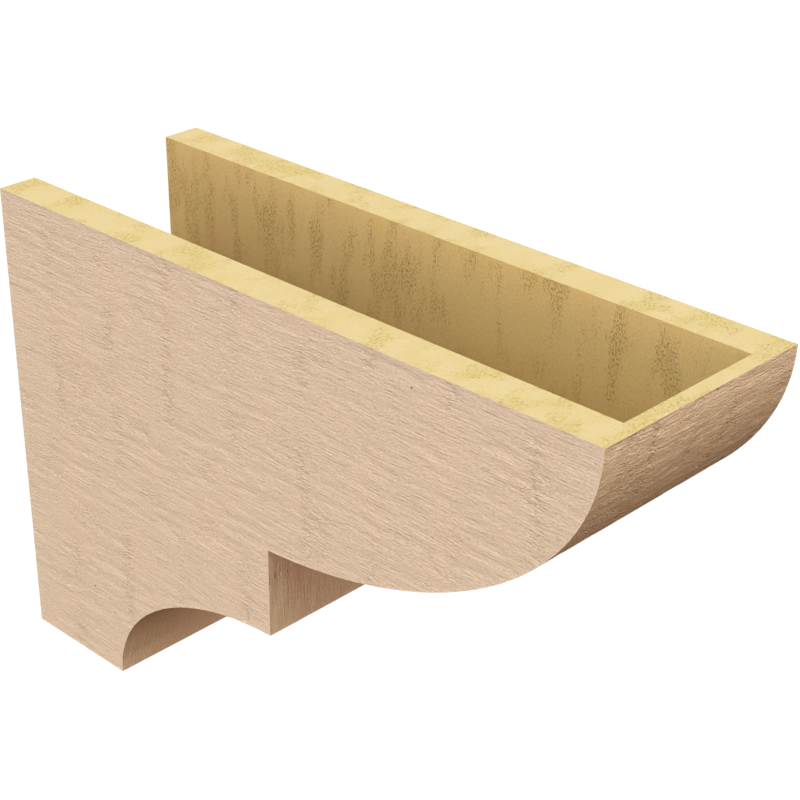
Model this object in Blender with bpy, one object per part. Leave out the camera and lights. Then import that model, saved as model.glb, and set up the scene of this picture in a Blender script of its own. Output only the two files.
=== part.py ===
# Hollow wall corbel with a rough-sawn cedar look, moulded in one piece.
# The wall stands behind it at y = 0, the nose reaches out along -Y, and +Z is up.
# It is open at the top and at the wall, so that it slips over a timber block.

from math import acos, asin, cos, pi, radians, sin, sqrt

import bmesh
import bpy

INCH = 0.0254

# Overall size
WIDTH = 6.0 * INCH
PROJECTION = 18.0 * INCH
HEIGHT = 12.0 * INCH

# Wall thicknesses: the two cheeks, and the skin that closes the underside and the nose
CHEEK = 1.0 * INCH
SKIN = 0.375 * INCH

# Side profile, as reaches out from the wall and heights above the foot's underside
FOOT_LENGTH = 3.375 * INCH
STEP_REACH = 9.0 * INCH
STEP_BOTTOM = 3.75 * INCH
STEP_TOP = 6.0 * INCH

# The cove's crown lies a little past the step, and the nose's lowest point a little behind it
COVE_CROWN_PAST_STEP = 0.29 * INCH
NOSE_BELLY_BEHIND_STEP = 1.02 * INCH

# Longest straight facet along the cove and the nose
FACET = 0.35 * INCH

# The cavity's cutter runs this far past the two open faces
OVERRUN = 1.0 * INCH

# The origin lies in the middle of the skin's end, on the wall plane
UNDERSIDE = -SKIN / 2
TOP = UNDERSIDE + HEIGHT

CAST_COLOUR = (0.58, 0.43, 0.31, 1.0)
CAST_ROUGHNESS = 0.85


def clear_scene():
    for obj in list(bpy.data.objects):
        bpy.data.objects.remove(obj, do_unlink=True)


def new_collection(name):
    collection = bpy.data.collections.new(name)
    bpy.context.scene.collection.children.link(collection)
    return collection


def semi_height(rise, offset, half_reach):
    """Half height of an ellipse that stands rise away from its centre line at this offset from its centre."""
    return rise / sqrt(1 - (offset / half_reach) ** 2)


def ellipse_arc(centre, half_reach, half_height, start, end):
    """Points of an ellipse in facets of about one length. Angle 0 points to the nose and pi / 2 up."""
    longest = max(half_reach, half_height) * abs(end - start)
    count = max(6, round(longest / FACET))
    angles = [start + (end - start) * i / count for i in range(count + 1)]
    return [(centre[0] + half_reach * cos(a), centre[1] + half_height * sin(a)) for a in angles]


def cove(grow, start_height, end_reach):
    """The hollow quarter round between the foot and the step, grow further out from its centre than the face."""
    centre = STEP_REACH + COVE_CROWN_PAST_STEP
    half_reach = centre - FOOT_LENGTH
    half_height = semi_height(STEP_BOTTOM, COVE_CROWN_PAST_STEP, half_reach) + grow
    half_reach += grow
    start = pi - asin(start_height / half_height)
    end = acos((end_reach - centre) / half_reach)
    return ellipse_arc((centre, UNDERSIDE), half_reach, half_height, start, end)


def nose(shrink, start_reach):
    """The full quarter round from the step to the tip, shrink further in than the face."""
    centre = STEP_REACH - NOSE_BELLY_BEHIND_STEP
    half_reach = PROJECTION - centre
    half_height = semi_height(HEIGHT - STEP_TOP, NOSE_BELLY_BEHIND_STEP, half_reach) - shrink
    half_reach -= shrink
    start = -acos((start_reach - centre) / half_reach)
    return ellipse_arc((centre, TOP), half_reach, half_height, start, 0)


def body_outline():
    """Side view of the whole block, as (reach from the wall, height) pairs, round from the top at the wall."""
    return [
        (0, TOP),
        (0, UNDERSIDE),
        *cove(0, 0, STEP_REACH),
        *nose(0, STEP_REACH),
    ]


def cavity_outline():
    """Side view of the hollow, one skin inside the block and past both of its open faces."""
    floor = UNDERSIDE + SKIN
    inner_step = STEP_REACH - SKIN
    return [
        (-OVERRUN, TOP + OVERRUN),
        (-OVERRUN, floor),
        *cove(SKIN, SKIN, inner_step),
        *nose(SKIN, inner_step),
        (PROJECTION - SKIN, TOP + OVERRUN),
    ]


def extruded_outline(name, outline, width, collection):
    """A mesh object: the side view as a filled flat curve, stood upright and extruded across the width."""
    curve = bpy.data.curves.new(name, "CURVE")
    curve.dimensions = "2D"
    curve.fill_mode = "BOTH"
    curve.extrude = width / 2
    spline = curve.splines.new("POLY")
    spline.points.add(len(outline) - 1)
    for point, (reach, height) in zip(spline.points, outline):
        point.co = (reach, height, 0, 1)
    spline.use_cyclic_u = True

    guide = bpy.data.objects.new(name + "_outline", curve)
    guide.rotation_euler = (radians(90), 0, radians(-90))
    collection.objects.link(guide)
    bpy.context.view_layer.update()

    graph = bpy.context.evaluated_depsgraph_get()
    mesh = bpy.data.meshes.new_from_object(guide.evaluated_get(graph))
    mesh.name = name
    weld_caps(mesh)
    block = bpy.data.objects.new(name, mesh)
    block.matrix_world = guide.matrix_world.copy()
    collection.objects.link(block)
    bpy.data.objects.remove(guide, do_unlink=True)
    return block


def weld_caps(mesh):
    """Joins a filled curve's loose caps to its sides, with every face pointing out."""
    shape = bmesh.new()
    shape.from_mesh(mesh)
    bmesh.ops.remove_doubles(shape, verts=shape.verts, dist=0.00001)
    bmesh.ops.recalc_face_normals(shape, faces=shape.faces)
    shape.to_mesh(mesh)
    shape.free()


def cast_material():
    material = bpy.data.materials.new("primed_cast_cedar")
    material.use_nodes = True
    shader = material.node_tree.nodes["Principled BSDF"]
    shader.inputs["Base Color"].default_value = CAST_COLOUR
    shader.inputs["Roughness"].default_value = CAST_ROUGHNESS
    shader.inputs["Metallic"].default_value = 0.0
    return material


def make_cavity(collection):
    """The hollow between the cheeks, kept as a wire helper."""
    cavity = extruded_outline("cavity", cavity_outline(), WIDTH - 2 * CHEEK, collection)
    cavity.display_type = "WIRE"
    cavity.hide_render = True
    return cavity


def make_corbel(collection, cavity):
    """The block with its hollow cut out, which leaves two cheeks, a stepped skin and a round nose."""
    corbel = extruded_outline("corbel", body_outline(), WIDTH, collection)
    corbel.data.materials.clear()
    corbel.data.materials.append(cast_material())
    cut = corbel.modifiers.new("hollow", "BOOLEAN")
    cut.operation = "DIFFERENCE"
    cut.solver = "EXACT"
    cut.object = cavity
    corbel.data.shade_smooth()
    corbel.data.set_sharp_from_angle(angle=radians(30))
    return corbel


def main():
    clear_scene()
    cavity = make_cavity(new_collection("cutters"))
    make_corbel(new_collection("cedar_corbel"), cavity)


main()
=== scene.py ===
# Rough-sawn faux cedar corbel: one moulded block with its primed grain outside and raw foam inside.

from math import acos, asin, pi, radians, sqrt

import bmesh
import bpy
import numpy as np
from mathutils import Matrix, Vector
from mathutils.geometry import delaunay_2d_cdt


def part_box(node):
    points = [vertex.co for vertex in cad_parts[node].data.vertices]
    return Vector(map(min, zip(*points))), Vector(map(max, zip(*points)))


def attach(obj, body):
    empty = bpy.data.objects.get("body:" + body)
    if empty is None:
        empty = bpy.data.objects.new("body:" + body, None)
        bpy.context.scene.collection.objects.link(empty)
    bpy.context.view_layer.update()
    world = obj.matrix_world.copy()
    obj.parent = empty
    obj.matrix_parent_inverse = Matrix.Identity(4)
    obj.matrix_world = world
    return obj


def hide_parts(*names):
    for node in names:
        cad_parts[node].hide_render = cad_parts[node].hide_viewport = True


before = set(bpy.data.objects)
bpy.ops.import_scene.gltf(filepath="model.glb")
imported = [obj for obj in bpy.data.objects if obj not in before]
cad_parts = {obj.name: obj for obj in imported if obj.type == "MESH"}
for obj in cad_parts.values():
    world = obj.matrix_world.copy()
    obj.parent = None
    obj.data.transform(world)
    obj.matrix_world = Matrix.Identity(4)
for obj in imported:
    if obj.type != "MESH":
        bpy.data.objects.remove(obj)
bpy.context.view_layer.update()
print("frame loaded")

inch = 0.0254
mm = 0.001

# The block. Its overall size comes from the frame, and these are the sizes inside it.
block = {
    "name": "sawn_cedar_corbel",
    "cheek": 1.0 * inch,
    "skin": 0.375 * inch,
    "footLength": 3.375 * inch,
    "stepReach": 9.0 * inch,
    "stepBottom": 3.75 * inch,
    "stepTop": 6.0 * inch,
    "coveCrownPastStep": 0.29 * inch,
    "noseBellyBehindStep": 1.02 * inch,
    "edgeSpacing": 2.2 * mm,  # points along the profile and the rim
    "insideSpacing": 8.0 * mm,  # the same, round the smooth hollow
    "gridAlong": 2.9 * mm,  # mesh of the rough faces, along the grain
    "gridAcross": 1.05 * mm,  # and across it
    "weldWithin": 0.001 * mm,  # edges of neighbouring faces join within this
    "sharpAngle": 38,  # degrees, corners over this stay crisp
}
gridMargin = 0.6 * block["gridAcross"]  # the mesh of a rough face keeps this clear of its edges
lowCorner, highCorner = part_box("corbel")
halfWidth = (highCorner.x - lowCorner.x) / 2
projection = highCorner.y - lowCorner.y
underside = lowCorner.z
topFace = highCorner.z

# Each face has a grain pattern of its own, which follows from its seed
faceSeeds = {
    "leftCheek": 3,
    "rightCheek": 9,
    "foot": 13,
    "cove": 15,
    "step": 17,
    "nose": 19,
    "rim": 21,
    "wallFace": 22,
    "leftWall": 23,
    "rightWall": 25,
    "hollowFloor": 26,
}
seedSpan = 100.0  # the grain coordinates move on by this for each step of the seed


def straightLine(start, end, spacing):
    count = max(1, round(np.hypot(end[0] - start[0], end[1] - start[1]) / spacing))
    share = np.linspace(0, 1, count + 1)[:, None]
    return np.array(start) * (1 - share) + np.array(end) * share


def ellipseArc(centre, halfReach, halfHeight, angles, spacing):
    # Points evenly spaced along the curve, picked from a much finer run
    fineSteps = 600
    sweep = np.linspace(angles[0], angles[1], fineSteps)
    reach = centre[0] + halfReach * np.cos(sweep)
    height = centre[1] + halfHeight * np.sin(sweep)
    run = np.concatenate([[0], np.cumsum(np.hypot(np.diff(reach), np.diff(height)))])
    count = max(2, round(run[-1] / spacing))
    even = np.linspace(0, run[-1], count + 1)
    return np.column_stack([np.interp(even, run, reach), np.interp(even, run, height)])


def coveArc(grow, startHeight, endReach, spacing):
    centre = block["stepReach"] + block["coveCrownPastStep"]
    halfReach = centre - block["footLength"]
    rise = block["stepBottom"] / sqrt(1 - (block["coveCrownPastStep"] / halfReach) ** 2)
    halfReach += grow
    start = pi - asin(startHeight / (rise + grow))
    end = acos((endReach - centre) / halfReach)
    return ellipseArc((centre, underside), halfReach, rise + grow, (start, end), spacing)


def noseArc(shrink, startReach, spacing):
    centre = block["stepReach"] - block["noseBellyBehindStep"]
    halfReach = projection - centre
    fall = topFace - underside - block["stepTop"]
    fall /= sqrt(1 - (block["noseBellyBehindStep"] / halfReach) ** 2)
    halfReach -= shrink
    start = -acos((startReach - centre) / halfReach)
    return ellipseArc((centre, topFace), halfReach, fall - shrink, (start, 0), spacing)


# Side profile as (reach from the wall, height), in four runs that meet at crisp corners
footEnd = (block["footLength"], underside)
stepFoot = (block["stepReach"], underside + block["stepBottom"])
stepHead = (block["stepReach"], underside + block["stepTop"])
tip = (projection, topFace)


def pinEnds(points, start, end):
    points[0] = start
    points[-1] = end
    return points


def profileRuns(spacing):
    return {
        "foot": straightLine((0, underside), footEnd, spacing),
        "cove": pinEnds(coveArc(0, 0, block["stepReach"], spacing), footEnd, stepFoot),
        "step": straightLine(stepFoot, stepHead, spacing),
        "nose": pinEnds(noseArc(0, block["stepReach"], spacing), stepHead, tip),
    }


runs = profileRuns(block["edgeSpacing"])
print("profile drawn")

latticeSize = 128  # the noise repeats after this many features


def latticeNoise(x, y, seed):
    table = np.random.default_rng(seed).uniform(-1, 1, (latticeSize, latticeSize))
    column = np.floor(x).astype(int)
    row = np.floor(y).astype(int)
    fx = x - column
    fy = y - row
    fx = fx * fx * (3 - 2 * fx)
    fy = fy * fy * (3 - 2 * fy)
    left, right = column % latticeSize, (column + 1) % latticeSize
    low, high = row % latticeSize, (row + 1) % latticeSize
    near = table[left, low] * (1 - fx) + table[right, low] * fx
    far = table[left, high] * (1 - fx) + table[right, high] * fx
    return near * (1 - fy) + far * fy


def smoothRise(value, low, high):
    share = np.clip((value - low) / (high - low), 0, 1)
    return share * share * (3 - 2 * share)


# Saw texture of the mould. Lengths are in millimetres, and an edge pair gives the values of the noise
# at which a feature begins and at which it is in full
sawing = {
    "wander": (60.0, 24.0, 0.9),  # length, width and size of the sideways stray of a grain line
    "longStreak": (28.0, 2.4, 0.30),  # length, pitch and depth
    "shortStreak": (9.0, 2.1, 0.34),
    "streakEdge": (-0.1, 0.9),
    "chip": (3.4, 2.1, 0.60),  # torn fibres where the blade paused
    "chipEdge": (-0.3, 0.8),
    "chipSlant": 7.0,  # chips lean across the grain by one part in this many
    "cluster": (45.0, 14.0),  # streaks gather in patches of this size
    "clusterEdge": (-0.5, 0.5),
    "calm": 0.6,  # share of the depth left between the patches
    "strokePitch": 52.0,  # saw strokes stand across the grain this far apart
    "strokeStart": 0.37,  # share of a pitch by which the beat moves on with a face's seed
    "strokeShift": (80.0, 16.0),  # length and size of their stray from that beat
    "strokeWander": (200.0, 45.0, 5.0),  # length, width and size of their stray along themselves
    "strokeWidth": 5.5,  # from the middle of a stroke to where it dies away
    "tear": 30.0,  # length of a torn stretch along a stroke
    "tearEdge": (-0.8, 0.6),
    "tearStep": 7.3,  # how unlike one stroke's torn stretches are to the next one's
    "looseTear": (30.0, 20.0),  # size of the torn patches that lie between strokes
    "looseEdge": (0.4, 0.9),
    "looseForce": 0.6,  # and how torn those are, beside a stroke
    "jog": 1.5,  # the grain jogs sideways by this much from one stroke to the next
    "jogStep": 5.7,  # how unlike one stroke's jog is to the next one's
    "edgeFade": 1.6,  # the grain dies away over this at a crisp corner
    # For each face, the depth of the grain, the depth of the finish's fine bump, and how long drawn out
    # the grain is along it
    "force": {"cheek": 1.05, "foot": 0.9, "cove": 0.6, "step": 1.4, "nose": 1.5},
    "fineForce": {"cheek": 0.58, "foot": 0.55, "cove": 0.40, "step": 0.35, "nose": 0.90},
    "stretch": {"foot": 1.0, "cove": 0.8, "step": 1.2, "nose": 0.7},
}


def patchNoise(along, across, size, seed):
    return latticeNoise(along / size[0], across / size[1], seed)


def sawStrokes(along, across, seed):
    # Saw strokes cross the grain at a rough beat. Each tears it in places, and the grain jogs there
    middle = np.full_like(along, 0.5)
    shiftLength, shiftSize = sawing["strokeShift"]
    stray = shiftSize * latticeNoise(along / shiftLength, middle, seed + 6)
    stray += sawing["strokeWander"][2] * patchNoise(along, across, sawing["strokeWander"], seed + 6)
    stroke = (along + stray) / sawing["strokePitch"] + sawing["strokeStart"] * seed
    number = np.round(stroke)
    away = (stroke - number) * sawing["strokePitch"]
    torn = np.exp(-((away / sawing["strokeWidth"]) ** 2))
    stretches = latticeNoise(number * sawing["tearStep"], across / sawing["tear"], seed + 7)
    torn *= smoothRise(stretches, *sawing["tearEdge"])
    loose = smoothRise(patchNoise(along, across, sawing["looseTear"], seed + 8), *sawing["looseEdge"])
    before = latticeNoise((number - 1) * sawing["jogStep"], middle, seed + 4)
    after = latticeNoise(number * sawing["jogStep"], middle, seed + 4)
    passed = smoothRise(away, -sawing["strokeWidth"], sawing["strokeWidth"])
    jog = sawing["jog"] * (before + (after - before) * passed)
    return np.maximum(torn, sawing["looseForce"] * loose), jog


def sawGrain(along, across, edgeGap, face, seed):
    # Depth of the relief in metres, and the grain's coordinates and torn spots for the finish
    along = along / mm
    across = across / mm
    torn, jog = sawStrokes(along, across, seed)
    across = across + jog
    grain = np.column_stack([along, across, np.full(len(along), seed * seedSpan)])
    across = across + sawing["wander"][2] * patchNoise(along, across, sawing["wander"], seed)
    streaks = 0
    for number, kind in enumerate(("longStreak", "shortStreak")):
        ridge = patchNoise(along, across, sawing[kind], seed + 10 * number + 1)
        streaks = streaks + sawing[kind][2] * smoothRise(ridge, *sawing["streakEdge"])
    gathering = smoothRise(patchNoise(along, across, sawing["cluster"], seed + 5), *sawing["clusterEdge"])
    streaks = streaks * (sawing["calm"] + (1 - sawing["calm"]) * gathering)
    chip = patchNoise(along, across + along / sawing["chipSlant"], sawing["chip"], seed + 9)
    depth = streaks + torn * sawing["chip"][2] * smoothRise(chip, *sawing["chipEdge"])
    depth *= sawing["force"][face] * mm * smoothRise(edgeGap / mm, 0, sawing["edgeFade"])
    return depth, grain, torn


# Faces of the piece are gathered here, then joined where their edges meet
gathered = {"points": [], "faces": [], "grain": [], "torn": [], "finish": [], "force": [], "count": 0}

# The piece's finishes, by their place among its materials
primed = 0
cutFoam = 1
mouldedFoam = 2


def gather(points, faces, grain, finish, torn=None, force=1.0):
    start = gathered["count"]
    gathered["points"].append(points)
    torn = np.zeros(len(points)) if torn is None else torn
    for face in faces:
        gathered["faces"].append([start + corner for corner in face])
        gathered["grain"].append(grain[list(face)])
        gathered["torn"].append(torn[list(face)])
        gathered["finish"].append(finish)
        gathered["force"].append(force)
    gathered["count"] += len(points)


def trianglesWithin(border, inner):
    # Border points in order round the patch, then loose points inside it
    points = np.vstack([border, inner]) / mm
    loop = list(range(len(border)))
    keepInside = 1
    mergeWithin = 1e-5
    solved = delaunay_2d_cdt([Vector(p) for p in points], [], [loop], keepInside, mergeWithin)
    source = [origins[0] for origins in solved[3]]
    return [[source[corner] for corner in face] for face in solved[2]]


def brickGrid(lengthAlong, lengthAcross):
    # Rows follow the grain, and every second one is shifted by half a brick
    rows = []
    for index, across in enumerate(np.arange(block["gridAcross"], lengthAcross, block["gridAcross"])):
        along = np.arange((0.5 + 0.5 * (index % 2)) * block["gridAlong"], lengthAlong, block["gridAlong"])
        rows.append(np.column_stack([along, np.full(len(along), across)]))
    return np.vstack(rows)


def cheekGap(reach, height):
    # Distance from a cheek's edges, near enough
    front = np.vstack([runs["cove"], runs["step"][1:], runs["nose"][1:]])
    belly = np.vstack([runs["foot"], runs["cove"][1:], runs["nose"]])
    ahead = np.interp(height, front[:, 1], front[:, 0]) - reach
    below = height - np.interp(reach, belly[:, 0], belly[:, 1])
    return np.minimum.reduce([reach, topFace - height, ahead, below])


def addCheek(side, seed):
    # side is -1 for the left cheek and 1 for the right
    back = straightLine((0, topFace), (0, underside), block["edgeSpacing"])
    rim = straightLine(tip, (0, topFace), block["edgeSpacing"])
    border = np.vstack([line[:-1] for line in (back, *runs.values(), rim)])
    inner = brickGrid(projection, topFace - underside) + [0, underside]
    inner = inner[cheekGap(*inner.T) > gridMargin]
    flat = np.vstack([border, inner])
    gap = np.concatenate([np.zeros(len(border)), cheekGap(*inner.T)])
    depth, grain, torn = sawGrain(flat[:, 0], flat[:, 1], gap, "cheek", seed)
    points = np.column_stack([side * (halfWidth - depth), -flat[:, 0], flat[:, 1]])
    gather(points, trianglesWithin(border, inner), grain, primed, torn, sawing["fineForce"]["cheek"])


def addFront(name, grainAcross, seed):
    # One run of the profile, unrolled flat, with its grain across the width or up the run
    line = runs[name]
    steps = np.hypot(*np.diff(line, axis=0).T)
    run = np.concatenate([[0], np.cumsum(steps)])
    length = run[-1]
    columns = straightLine((-halfWidth, 0), (halfWidth, 0), block["edgeSpacing"])[:, 0]
    border = np.vstack([
        np.column_stack([run, np.full(len(run), -halfWidth)])[:-1],
        np.column_stack([np.full(len(columns), length), columns])[:-1],
        np.column_stack([run, np.full(len(run), halfWidth)])[:0:-1],
        np.column_stack([np.zeros(len(columns)), columns])[:0:-1],
    ])
    if grainAcross:
        inner = brickGrid(2 * halfWidth, length)[:, ::-1] - [0, halfWidth]
    else:
        inner = brickGrid(length, 2 * halfWidth) - [0, halfWidth]
    innerGap = np.minimum.reduce([inner[:, 0], length - inner[:, 0], halfWidth - np.abs(inner[:, 1])])
    inner = inner[innerGap > gridMargin]
    flat = np.vstack([border, inner])
    gap = np.minimum.reduce([flat[:, 0], length - flat[:, 0], halfWidth - np.abs(flat[:, 1])])
    place = np.column_stack([np.interp(flat[:, 0], run, line[:, axis]) for axis in (0, 1)])
    heading = np.gradient(line, run, axis=0)
    heading = np.column_stack([np.interp(flat[:, 0], run, heading[:, axis]) for axis in (0, 1)])
    heading /= np.linalg.norm(heading, axis=1)[:, None]
    along, across = flat[:, 0], flat[:, 1] + halfWidth
    if grainAcross:
        along, across = across, along
    along = along / sawing["stretch"][name]
    depth, grain, torn = sawGrain(along, across, np.maximum(gap, 0), name, seed)
    place += np.column_stack([-heading[:, 1], heading[:, 0]]) * depth[:, None]
    points = np.column_stack([flat[:, 1], -place[:, 0], place[:, 1]])
    gather(points, trianglesWithin(border, inner), grain, primed, torn, sawing["fineForce"][name])


def addFlat(points, grain, seed, finish):
    points = np.array(points, float)
    grain = np.column_stack([np.array(grain) / mm, np.full(len(points), seed * seedSpan)])
    gather(points, [list(range(len(points)))], grain, finish)


def addRim():
    spacing = block["edgeSpacing"]
    inner = halfWidth - block["cheek"]
    lip = projection - block["skin"]
    outline = np.vstack([
        straightLine((-halfWidth, 0), (-halfWidth, -projection), spacing)[:-1],
        straightLine((-halfWidth, -projection), (halfWidth, -projection), spacing)[:-1],
        straightLine((halfWidth, -projection), (halfWidth, 0), spacing),
        [(inner, 0), (inner, -lip), (-inner, -lip), (-inner, 0)],
    ])
    addFlat(np.column_stack([outline, np.full(len(outline), topFace)]), outline, faceSeeds["rim"], cutFoam)


def addBack():
    spacing = block["edgeSpacing"]
    inner = halfWidth - block["cheek"]
    floor = underside + block["skin"]
    outline = np.vstack([
        straightLine((-halfWidth, topFace), (-halfWidth, underside), spacing)[:-1],
        straightLine((-halfWidth, underside), (halfWidth, underside), spacing)[:-1],
        straightLine((halfWidth, underside), (halfWidth, topFace), spacing),
        [(inner, topFace), (inner, floor), (-inner, floor), (-inner, topFace)],
    ])
    points = np.column_stack([outline[:, 0], np.zeros(len(outline)), outline[:, 1]])
    addFlat(points, outline[:, ::-1], faceSeeds["wallFace"], cutFoam)


def addHollow():
    skin = block["skin"]
    inner = halfWidth - block["cheek"]
    innerStep = block["stepReach"] - skin
    spacing = block["insideSpacing"]
    cove = coveArc(skin, skin, innerStep, spacing)
    nose = noseArc(skin, innerStep, spacing)
    nose[-1] = (projection - skin, topFace)
    bottom = np.vstack([[(0, underside + skin)], cove, nose])
    bottom[1, 1] = underside + skin
    for side, name in ((-1, "leftWall"), (1, "rightWall")):
        outline = np.vstack([bottom, [(0, topFace)]])
        points = np.column_stack([np.full(len(outline), side * inner), -outline[:, 0], outline[:, 1]])
        addFlat(points, outline[:, ::-1], faceSeeds[name], mouldedFoam)
    run = np.concatenate([[0], np.cumsum(np.hypot(*np.diff(bottom, axis=0).T))])
    left = np.column_stack([np.full(len(bottom), -inner), -bottom[:, 0], bottom[:, 1]])
    points = np.vstack([left, left * [-1, 1, 1]])
    grain = np.vstack([np.column_stack([run, np.full(len(run), side * inner)]) for side in (-1, 1)])
    grain = np.column_stack([grain / mm, np.full(len(grain), faceSeeds["hollowFloor"] * seedSpan)])
    last = len(bottom)
    faces = [[i, i + 1, last + i + 1, last + i] for i in range(last - 1)]
    gather(points, faces, grain, mouldedFoam)


def joinGathered():
    # Points that fall together become one, which makes a single closed skin
    points = np.vstack(gathered["points"])
    near = np.round(points / block["weldWithin"])
    _, first, index = np.unique(near, axis=0, return_index=True, return_inverse=True)
    index = index.reshape(-1)
    faces = [[int(index[corner]) for corner in face] for face in gathered["faces"]]
    mesh = bpy.data.meshes.new(block["name"])
    mesh.from_pydata(points[first].tolist(), [], faces)
    grain = mesh.attributes.new("grainCoords", "FLOAT_VECTOR", "CORNER")
    grain.data.foreach_set("vector", np.vstack(gathered["grain"]).astype(np.float32).ravel())
    torn = mesh.attributes.new("torn", "FLOAT", "CORNER")
    torn.data.foreach_set("value", np.concatenate(gathered["torn"]).astype(np.float32))
    force = mesh.attributes.new("fineForce", "FLOAT", "FACE")
    force.data.foreach_set("value", np.array(gathered["force"], np.float32))
    mesh.polygons.foreach_set("material_index", np.array(gathered["finish"], np.int32))
    shape = bmesh.new()
    shape.from_mesh(mesh)
    bmesh.ops.recalc_face_normals(shape, faces=shape.faces)
    openEdges = sum(not edge.is_manifold for edge in shape.edges)
    shape.to_mesh(mesh)
    shape.free()
    mesh.shade_smooth()
    mesh.set_sharp_from_angle(angle=radians(block["sharpAngle"]))
    print("corbel meshed:", len(mesh.vertices), "points,", openEdges, "open edges")
    return mesh


addCheek(-1, faceSeeds["leftCheek"])
addCheek(1, faceSeeds["rightCheek"])
for name in ("foot", "cove", "step", "nose"):
    addFront(name, name == "nose", faceSeeds[name])
addRim()
addBack()
addHollow()
corbel = bpy.data.objects.new(block["name"], joinGathered())
bpy.context.scene.collection.objects.link(corbel)


# Short forms for the nodes of the finishes, the floor and the light
def addNode(tree, kind, **settings):
    node = tree.nodes.new(kind)
    for name, value in settings.items():
        setattr(node, name, value)
    return node


def scaledGrain(tree, lengthAlong, lengthAcross):
    # The grain's own coordinates, counted in features of this length and pitch in millimetres
    source = addNode(tree, "ShaderNodeAttribute", attribute_name="grainCoords")
    scale = addNode(tree, "ShaderNodeVectorMath", operation="MULTIPLY")
    tree.links.new(source.outputs["Vector"], scale.inputs[0])
    scale.inputs[1].default_value = (1 / lengthAlong, 1 / lengthAcross, 1)
    return scale.outputs["Vector"]


def noiseOf(tree, coordinates, detail, roughness=0.5):
    noise = addNode(tree, "ShaderNodeTexNoise")
    tree.links.new(coordinates, noise.inputs["Vector"])
    noise.inputs["Scale"].default_value = 1.0
    noise.inputs["Detail"].default_value = detail
    noise.inputs["Roughness"].default_value = roughness
    return noise.outputs["Fac"]


def ranged(tree, value, fromLow, fromHigh, toLow=0.0, toHigh=1.0):
    node = addNode(tree, "ShaderNodeMapRange", interpolation_type="SMOOTHSTEP")
    tree.links.new(value, node.inputs["Value"])
    node.inputs["From Min"].default_value = fromLow
    node.inputs["From Max"].default_value = fromHigh
    node.inputs["To Min"].default_value = toLow
    node.inputs["To Max"].default_value = toHigh
    return node.outputs["Result"]


def combined(tree, operation, first, second):
    node = addNode(tree, "ShaderNodeMath", operation=operation)
    for socket, value in zip(node.inputs, (first, second)):
        if isinstance(value, (int, float)):
            socket.default_value = value
        else:
            tree.links.new(value, socket)
    return node.outputs["Value"]


def blendColours(tree, share, first, second):
    node = addNode(tree, "ShaderNodeMix", data_type="RGBA")
    tree.links.new(share, node.inputs[0])
    for socket, value in ((node.inputs[6], first), (node.inputs[7], second)):
        if isinstance(value, tuple):
            socket.default_value = (*value, 1)
        else:
            tree.links.new(value, socket)
    return node.outputs[2]


def heightBump(tree, height, depth):
    node = addNode(tree, "ShaderNodeBump")
    node.inputs["Distance"].default_value = depth
    tree.links.new(height, node.inputs["Height"])
    return node.outputs["Normal"]


def startMaterial(name, finish):
    material = bpy.data.materials.new(name)
    material.use_nodes = True
    shader = material.node_tree.nodes["Principled BSDF"]
    shader.inputs["Roughness"].default_value = finish["roughness"]
    shader.inputs["Specular IOR Level"].default_value = finish["specular"]
    return material, material.node_tree, shader


# Flat tan primer over the sawn texture. Colours are in linear light. A feature's pair of sizes is its
# length along the grain and its pitch across it, in millimetres
primer = {
    "tan": (0.636, 0.528, 0.398),
    "pinkTan": (0.648, 0.530, 0.408),
    # painted shade for the splits and chips, also the tan of the dust speckle
    "paintedShadeAndDustTan": (0.500, 0.370, 0.250),
    "mauveTan": (0.600, 0.470, 0.385),
    # painted shade for the floors of the pinholes
    "pinholeShadeBrown": (0.165, 0.100, 0.060),
    "roughness": 0.85,
    "specular": 0.2,
    "cloud": (34.0, 60.0),  # soft drifts of colour, along and across the grain
    "longFibre": (26.0, 1.5),
    "shortFibre": (6.0, 1.2),
    "grit": (1.8, 1.1),
    "fineShares": {"longFibre": 0.8, "shortFibre": 0.8, "grit": 0.7},  # of the bump's depth
    "split": (11.0, 1.6),
    "splitEdge": (0.58, 0.72),
    "splitForce": 0.8,
    "chip": (3.4, 1.5),
    "chipEdge": (0.48, 0.62),
    "chipForce": 1.3,
    "cutShade": 0.18,  # how far splits and chips darken the primer, as painted shade in their recesses
    "cutDepth": -0.8,  # and how deep they go, as a share of the bump's depth
    "dust": (2.0, 1.2),
    "dustEdge": (0.40, 0.60),
    "dustShade": 0.45,
    "bumpDepth": 0.62 * mm,
    "rimTintWidth": 8.0 * mm,
    "rimTint": 0.5,
    "holePitch": 34.0,
    "holeEdge": (0.0132, 0.033),  # from the hole's floor to its lip, as shares of the pitch
}
cloudEdge = (0.38, 0.62)  # edge pair of the drifts of colour in every finish


def splitsAndChips(tree):
    # Thin splits lie here and there along the grain, and short chips where it is torn
    split = noiseOf(tree, scaledGrain(tree, *primer["split"]), 2)
    split = ranged(tree, split, *primer["splitEdge"], 0, primer["splitForce"])
    torn = addNode(tree, "ShaderNodeAttribute", attribute_name="torn").outputs["Fac"]
    chip = noiseOf(tree, scaledGrain(tree, *primer["chip"]), 1)
    chip = ranged(tree, chip, *primer["chipEdge"], 0, primer["chipForce"])
    return combined(tree, "MAXIMUM", split, combined(tree, "MULTIPLY", chip, torn))


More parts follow.
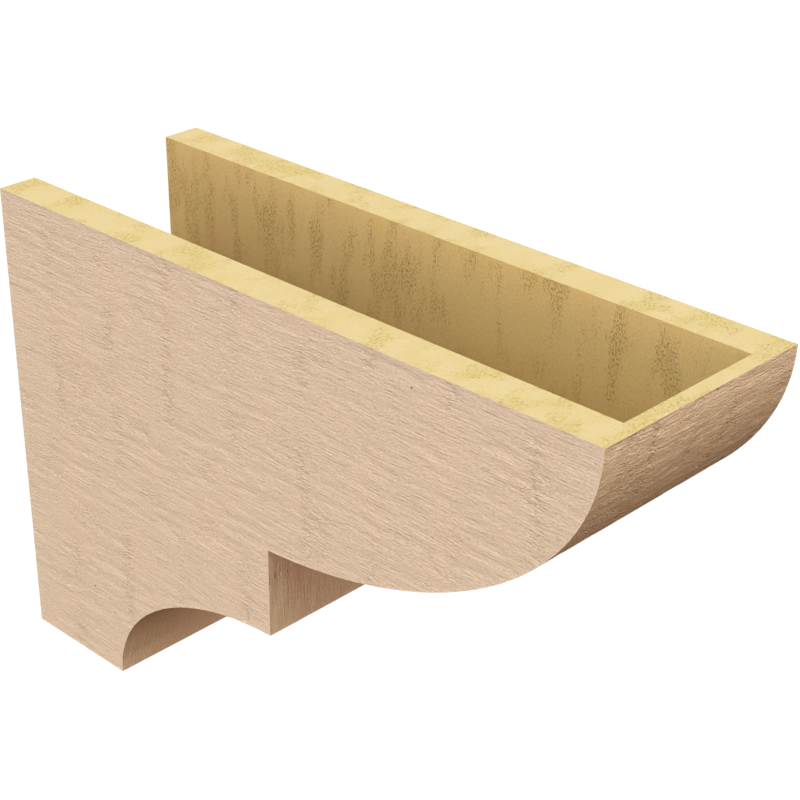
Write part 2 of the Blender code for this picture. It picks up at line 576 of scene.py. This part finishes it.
def primerMaterial():
    material, tree, shader = startMaterial("tan_primer_on_sawn_texture", primer)
    cloud = ranged(tree, noiseOf(tree, scaledGrain(tree, *primer["cloud"]), 3), *cloudEdge)
    base = blendColours(tree, cloud, primer["tan"], primer["pinkTan"])
    cuts = splitsAndChips(tree)
    dust = noiseOf(tree, scaledGrain(tree, *primer["dust"]), 2, 0.6)
    dust = ranged(tree, dust, *primer["dustEdge"], primer["dustShade"], 0)
    # Painted shade in the splits and chips, plus a random dust speckle, blend the primer toward one darker
    # tan
    shade = combined(tree, "ADD", combined(tree, "MULTIPLY", cuts, primer["cutShade"]), dust)
    base = blendColours(tree, shade, base, primer["paintedShadeAndDustTan"])

    # A mauve cast just under the cut rim
    place = addNode(tree, "ShaderNodeTexCoord").outputs["Object"]
    axes = addNode(tree, "ShaderNodeSeparateXYZ")
    tree.links.new(place, axes.inputs[0])
    tintStart = topFace - primer["rimTintWidth"]
    nearRim = ranged(tree, axes.outputs["Z"], tintStart, topFace, 0, primer["rimTint"])
    base = blendColours(tree, nearRim, base, primer["mauveTan"])

    # A few pinholes left by air in the mould, their dark floors painted shade
    cells = addNode(tree, "ShaderNodeTexVoronoi")
    tree.links.new(scaledGrain(tree, primer["holePitch"], primer["holePitch"]), cells.inputs["Vector"])
    cells.inputs["Scale"].default_value = 1.0
    hole = ranged(tree, cells.outputs["Distance"], *primer["holeEdge"], 1, 0)
    base = blendColours(tree, hole, base, primer["pinholeShadeBrown"])
    tree.links.new(base, shader.inputs["Base Color"])

    height = combined(tree, "MULTIPLY", cuts, primer["cutDepth"])
    for kind, share in primer["fineShares"].items():
        grain = noiseOf(tree, scaledGrain(tree, *primer[kind]), 1)
        height = combined(tree, "ADD", height, combined(tree, "MULTIPLY", grain, share))
    force = addNode(tree, "ShaderNodeAttribute", attribute_name="fineForce").outputs["Fac"]
    height = combined(tree, "SUBTRACT", combined(tree, "MULTIPLY", height, force), hole)
    normal = heightBump(tree, height, primer["bumpDepth"])
    tree.links.new(normal, shader.inputs["Normal"])
    return material


# Raw foam, sawn on the rim and the wall face and as it left the mould in the hollow
rimFoam = {
    "straw": (0.535, 0.428, 0.201),
    "paleStraw": (0.551, 0.445, 0.230),
    "mustard": (0.465, 0.360, 0.112),
    "olive": (0.345, 0.255, 0.068),
    "cloud": (30.0, 22.0),
    "patch": (26.0, 20.0),
    "patchEdge": (0.46, 0.62),
    "scatter": 0.22,  # how much of the staining is found outside the patches
    "speck": (2.0, 1.4),
    "pitEdge": (0.55, 0.67),
    "pitting": 0.75,
    "stainEdge": (0.40, 0.58),
    "stain": (0.15, 0.9),  # between the specks, and on them
    "roughness": 0.75,
    "specular": 0.25,
    "speckHeight": 0.3,  # share of the bump's depth
    "bumpDepth": 0.2 * mm,
}
hollowFoam = {
    "straw": (0.597, 0.440, 0.180),
    "paleStraw": (0.605, 0.451, 0.191),
    "mustard": (0.450, 0.312, 0.110),
    "olive": (0.330, 0.192, 0.072),
    "cloud": (60.0, 25.0),
    "patch": (48.0, 15.0),
    "patchEdge": (0.47, 0.64),
    "scatter": 0.3,
    "speck": (1.7, 1.0),
    "pitEdge": (0.52, 0.68),
    "pitting": 0.72,
    "stainEdge": (0.40, 0.58),
    "stain": (0.15, 0.85),
    "roughness": 0.75,
    "specular": 0.25,
    "speckHeight": 0.3,
    "bumpDepth": 0.35 * mm,
}


def foamMaterial(name, foam):
    # Straw foam with mustard stains in patches, and small olive pits within them
    material, tree, shader = startMaterial(name, foam)
    cloud = ranged(tree, noiseOf(tree, scaledGrain(tree, *foam["cloud"]), 3), *cloudEdge)
    base = blendColours(tree, cloud, foam["paleStraw"], foam["straw"])
    patch = noiseOf(tree, scaledGrain(tree, *foam["patch"]), 3, 0.6)
    patch = ranged(tree, patch, *foam["patchEdge"], foam["scatter"])
    specks = noiseOf(tree, scaledGrain(tree, *foam["speck"]), 3, 0.65)
    stained = combined(tree, "MULTIPLY", patch, ranged(tree, specks, *foam["stainEdge"], *foam["stain"]))
    base = blendColours(tree, stained, base, foam["mustard"])
    pits = combined(tree, "MULTIPLY", patch, ranged(tree, specks, *foam["pitEdge"], 0, foam["pitting"]))
    base = blendColours(tree, pits, base, foam["olive"])
    tree.links.new(base, shader.inputs["Base Color"])
    height = combined(tree, "SUBTRACT", combined(tree, "MULTIPLY", specks, foam["speckHeight"]), pits)
    normal = heightBump(tree, height, foam["bumpDepth"])
    tree.links.new(normal, shader.inputs["Normal"])
    return material


corbel.data.materials.append(primerMaterial())
corbel.data.materials.append(foamMaterial("sawn_straw_foam", rimFoam))
corbel.data.materials.append(foamMaterial("moulded_straw_foam", hollowFoam))
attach(corbel, "root")
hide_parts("corbel")
print("finishes applied")

# Pale floor, a light table of just white, so that the block's edges stay soft against it
floorPlan = {"drop": 1.4, "size": 60.0, "glow": (1.03, 1.03, 1.03, 1)}


def layFloor():
    mesh = bpy.data.meshes.new("pale_floor")
    reach = floorPlan["size"] / 2
    height = underside - floorPlan["drop"]
    corners = [(x * reach, y * reach, height) for x, y in ((-1, -1), (1, -1), (1, 1), (-1, 1))]
    mesh.from_pydata(corners, [], [(0, 1, 2, 3)])
    floor = bpy.data.objects.new("pale_floor", mesh)
    bpy.context.scene.collection.objects.link(floor)
    material = bpy.data.materials.new("pale_floor")
    material.use_nodes = True
    tree = material.node_tree
    tree.nodes.clear()
    glow = addNode(tree, "ShaderNodeEmission")
    glow.inputs["Color"].default_value = floorPlan["glow"]
    output = addNode(tree, "ShaderNodeOutputMaterial")
    tree.links.new(glow.outputs[0], output.inputs["Surface"])
    mesh.materials.append(material)
    floor.visible_diffuse = False
    floor.visible_glossy = False


# Soft studio light: two broad lamps from the left, one overhead, a steep one from the front, and
# a warm glow from round about
lights = {
    "leftHigh": {"from": (-0.70, -0.10, 0.70), "power": 1.14, "colour": (1.0, 0.95, 0.95), "angle": 50},
    "leftLow": {"from": (-0.95, -0.10, 0.25), "power": 1.76, "colour": (0.86, 0.98, 1.0), "angle": 60},
    "overhead": {"from": (0.0, 0.0, 1.0), "power": 2.50, "colour": (0.74, 0.80, 1.0), "angle": 60},
    "frontSteep": {"from": (0.1, -0.62, 0.78), "power": 2.3, "colour": (1.0, 0.94, 0.74), "angle": 60},
}
surround = {  # share of the way from straight down to straight up, and the light there
    0.0: (0.0, 0.0, 0.0),
    0.4: (0.0, 0.0, 0.0),
    0.5: (2.16, 1.23, 0.77),
    0.65: (0.0, 0.0, 0.0),
    1.0: (0.0, 0.0, 0.0),
}


def hangLights():
    for name, plan in lights.items():
        lamp = bpy.data.lights.new(name + "_light", "SUN")
        lamp.energy = plan["power"]
        lamp.color = plan["colour"]
        lamp.angle = radians(plan["angle"])
        sun = bpy.data.objects.new(name + "_light", lamp)
        sun.rotation_euler = Vector(plan["from"]).to_track_quat("Z", "Y").to_euler()
        bpy.context.scene.collection.objects.link(sun)


def paintSurround():
    world = bpy.data.worlds.new("studio")
    bpy.context.scene.world = world
    world.use_nodes = True
    tree = world.node_tree
    tree.nodes.clear()
    direction = addNode(tree, "ShaderNodeTexCoord").outputs["Generated"]
    split = addNode(tree, "ShaderNodeSeparateXYZ")
    tree.links.new(direction, split.inputs[0])
    ramp = addNode(tree, "ShaderNodeValToRGB")
    height = addNode(tree, "ShaderNodeMapRange")
    height.inputs["From Min"].default_value = -1.0
    tree.links.new(split.outputs["Z"], height.inputs["Value"])
    tree.links.new(height.outputs["Result"], ramp.inputs["Fac"])
    stops = ramp.color_ramp.elements
    for share, colour in surround.items():
        if 0 < share < 1:
            stops.new(share).color = (*colour, 1)
    stops[0].color = (*surround[0.0], 1)
    stops[-1].color = (*surround[1.0], 1)
    graded = addNode(tree, "ShaderNodeBackground")
    tree.links.new(ramp.outputs["Color"], graded.inputs["Color"])
    plainWhite = addNode(tree, "ShaderNodeBackground")
    plainWhite.inputs["Color"].default_value = (1, 1, 1, 1)
    seen = addNode(tree, "ShaderNodeLightPath").outputs["Is Camera Ray"]
    mix = addNode(tree, "ShaderNodeMixShader")
    tree.links.new(seen, mix.inputs[0])
    tree.links.new(graded.outputs[0], mix.inputs[1])
    tree.links.new(plainWhite.outputs[0], mix.inputs[2])
    output = addNode(tree, "ShaderNodeOutputWorld")
    tree.links.new(mix.outputs[0], output.inputs["Surface"])


# The photograph's viewpoint, in metres and degrees
viewpoint = {
    "place": (-0.68482, -0.91600, 0.71367),
    "heading": 45.835,  # turned from straight at the wall towards +X
    "downward": 27.993,
    "roll": 0.239,
    "lens": 86.881,
    "sensor": 36,  # both in millimetres
    "shift": (0.009375, 0.03125),
    "clip": (0.05, 200),
}


def setCamera():
    camera = bpy.data.cameras.new("photo_view")
    camera.lens = viewpoint["lens"]
    camera.sensor_width = viewpoint["sensor"]
    camera.shift_x, camera.shift_y = viewpoint["shift"]
    camera.clip_start, camera.clip_end = viewpoint["clip"]
    holder = bpy.data.objects.new("photo_view", camera)
    turn = Matrix.Rotation(radians(-viewpoint["heading"]), 4, "Z")
    tilt = Matrix.Rotation(radians(90 - viewpoint["downward"]), 4, "X")
    roll = Matrix.Rotation(radians(viewpoint["roll"]), 4, "Z")
    holder.matrix_world = Matrix.Translation(viewpoint["place"]) @ turn @ tilt @ roll
    bpy.context.scene.collection.objects.link(holder)
    bpy.context.scene.camera = holder


layFloor()
hangLights()
paintSurround()
setCamera()
bpy.context.scene.view_settings.view_transform = "Standard"
print("stage, lights and camera set")
